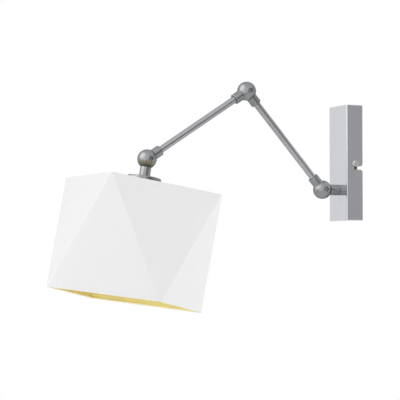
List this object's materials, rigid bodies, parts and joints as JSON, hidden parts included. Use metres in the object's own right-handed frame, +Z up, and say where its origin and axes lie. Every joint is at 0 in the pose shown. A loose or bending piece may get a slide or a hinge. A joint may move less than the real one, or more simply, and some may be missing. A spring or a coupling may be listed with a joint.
{
  "type": "articulating wall lamp",
  "caption": "Wall lamp with an upright metal box, two tube arms on half-ball friction knuckles, and a folded faceted fabric shade with a gold lining.",
  "frame": {"origin": "on the wall plane, at the centre of the back of the wall box", "axes": "+Z up, +Y into the wall so that the lamp reaches out towards -Y, X along every hinge axis"},
  "size_m": [0.2752, 0.5681, 0.3888],
  "materials": {
    "box_metal": "satin nickel on folded sheet",
    "joint_metal": "satin nickel on turned castings",
    "tube_metal": "satin nickel tube, fine lengthwise brushing",
    "zinc_steel": "bright zinc plate",
    "bracket_steel": "galvanised sheet",
    "contact_brass": "plain",
    "grommet_rubber": "matte",
    "terminal_plastic": "matte",
    "holder_plastic": "satin",
    "holder_ceramic": "glazed",
    "lead_sheath": "smooth",
    "live_insulation": "smooth",
    "neutral_insulation": "smooth",
    "earth_insulation": "smooth, green and yellow stripes",
    "shade_fabric": "white woven cloth on stiff sheet",
    "shade_gold": "brushed gold film",
    "shade_hem": "white tape",
    "wire_white": "white enamel"
  },
  "bodies": {
    "wall_box": {"wall_bracket": "bracket_steel", "cable_grommet": "grommet_rubber", "wall_cover": "box_metal", "cover_screws": "zinc_steel", "terminal_block": "terminal_plastic", "terminal_screws": "contact_brass", "earth_screw": "contact_brass", "earth_tag": "zinc_steel", "earth_core": "earth_insulation", "neck_lead": "lead_sheath", "live_core": "live_insulation", "neutral_core": "neutral_insulation", "shoulder_neck": "joint_metal", "neck_nipple": "zinc_steel", "neck_lock_washer": "zinc_steel", "neck_nut": "zinc_steel", "shoulder_hinge_screw": "zinc_steel", "shoulder_spring_washer": "zinc_steel", "shoulder_friction_washer": "contact_brass", "shoulder_hinge_nut": "zinc_steel"},
    "lower_arm": {"lower_arm_base": "joint_metal", "lower_arm_tube": "tube_metal", "lower_arm_lead": "lead_sheath", "lower_arm_tip": "joint_metal"},
    "upper_arm": {"upper_arm_base": "joint_metal", "upper_arm_tube": "tube_metal", "upper_arm_lead": "lead_sheath", "upper_arm_tip": "joint_metal", "elbow_hinge_screw": "zinc_steel", "elbow_spring_washer": "zinc_steel", "elbow_friction_washer": "contact_brass", "elbow_hinge_nut": "zinc_steel"},
    "lamp_head": {"head_neck": "joint_metal", "head_nipple": "zinc_steel", "head_cap": "joint_metal", "lampholder_dome": "holder_plastic", "lampholder_skirt": "holder_plastic", "lampholder_base": "holder_ceramic", "lampholder_shell": "contact_brass", "lampholder_contact": "contact_brass", "head_lead": "lead_sheath", "head_live_core": "live_insulation", "head_neutral_core": "neutral_insulation", "shade_carrier": "wire_white", "shade_ring": "holder_plastic", "shade_bottom_frame": "wire_white", "shade_panels_hanging": "shade_fabric", "shade_panels_standing": "shade_fabric", "shade_lining": "shade_gold", "top_binding": "shade_hem", "bottom_binding": "shade_gold", "head_hinge_screw": "zinc_steel", "head_spring_washer": "zinc_steel", "head_friction_washer": "contact_brass", "head_hinge_nut": "zinc_steel"}
  },
  "joints": [
    {"name": "shoulder_hinge", "type": "hinge", "parent": "wall_box", "child": "lower_arm", "pos_m": [0, -0.063, -0.0465], "axis": [-1, 0, 0], "range_deg": [-138, 42]},
    {"name": "elbow_hinge", "type": "hinge", "parent": "lower_arm", "child": "upper_arm", "pos_m": [0, -0.21021, 0.11699], "axis": [-1, 0, 0], "range_deg": [-8.8, 171.2]},
    {"name": "head_hinge", "type": "hinge", "parent": "upper_arm", "child": "lamp_head", "pos_m": [0, -0.3943, -0.00347], "axis": [-1, 0, 0], "range_deg": [-42.6, 137.4]}
  ]
}
